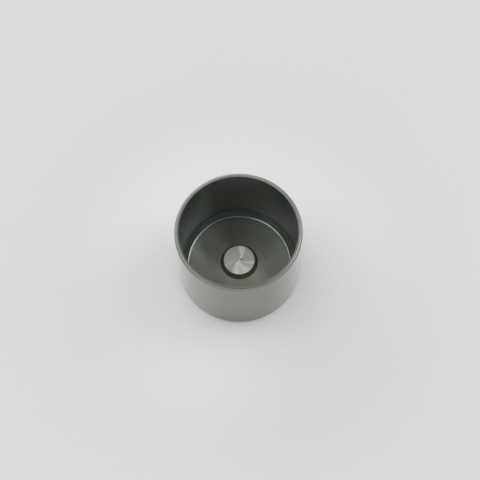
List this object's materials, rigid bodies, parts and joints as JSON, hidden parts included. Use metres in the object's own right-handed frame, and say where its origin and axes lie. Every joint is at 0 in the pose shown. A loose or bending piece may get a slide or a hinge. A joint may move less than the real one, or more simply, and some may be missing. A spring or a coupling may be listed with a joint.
{
  "type": "bucket tappet",
  "caption": "Thin-walled steel bucket tappet, open at one end, with a thick root, a coned crown floor and a raised ground pad in its middle for the valve stem.",
  "frame": {"origin": "centre of the crown's outer face, on which the bucket stands", "axes": "+Z along the bucket's axis, out of its open mouth"},
  "size_m": [0.031, 0.031, 0.023],
  "materials": {
    "steel": "satin ground skirt, rim and pad, darker turned inside"
  },
  "bodies": {
    "root": {"tappet_bucket": "steel"}
  },
  "joints": []
}
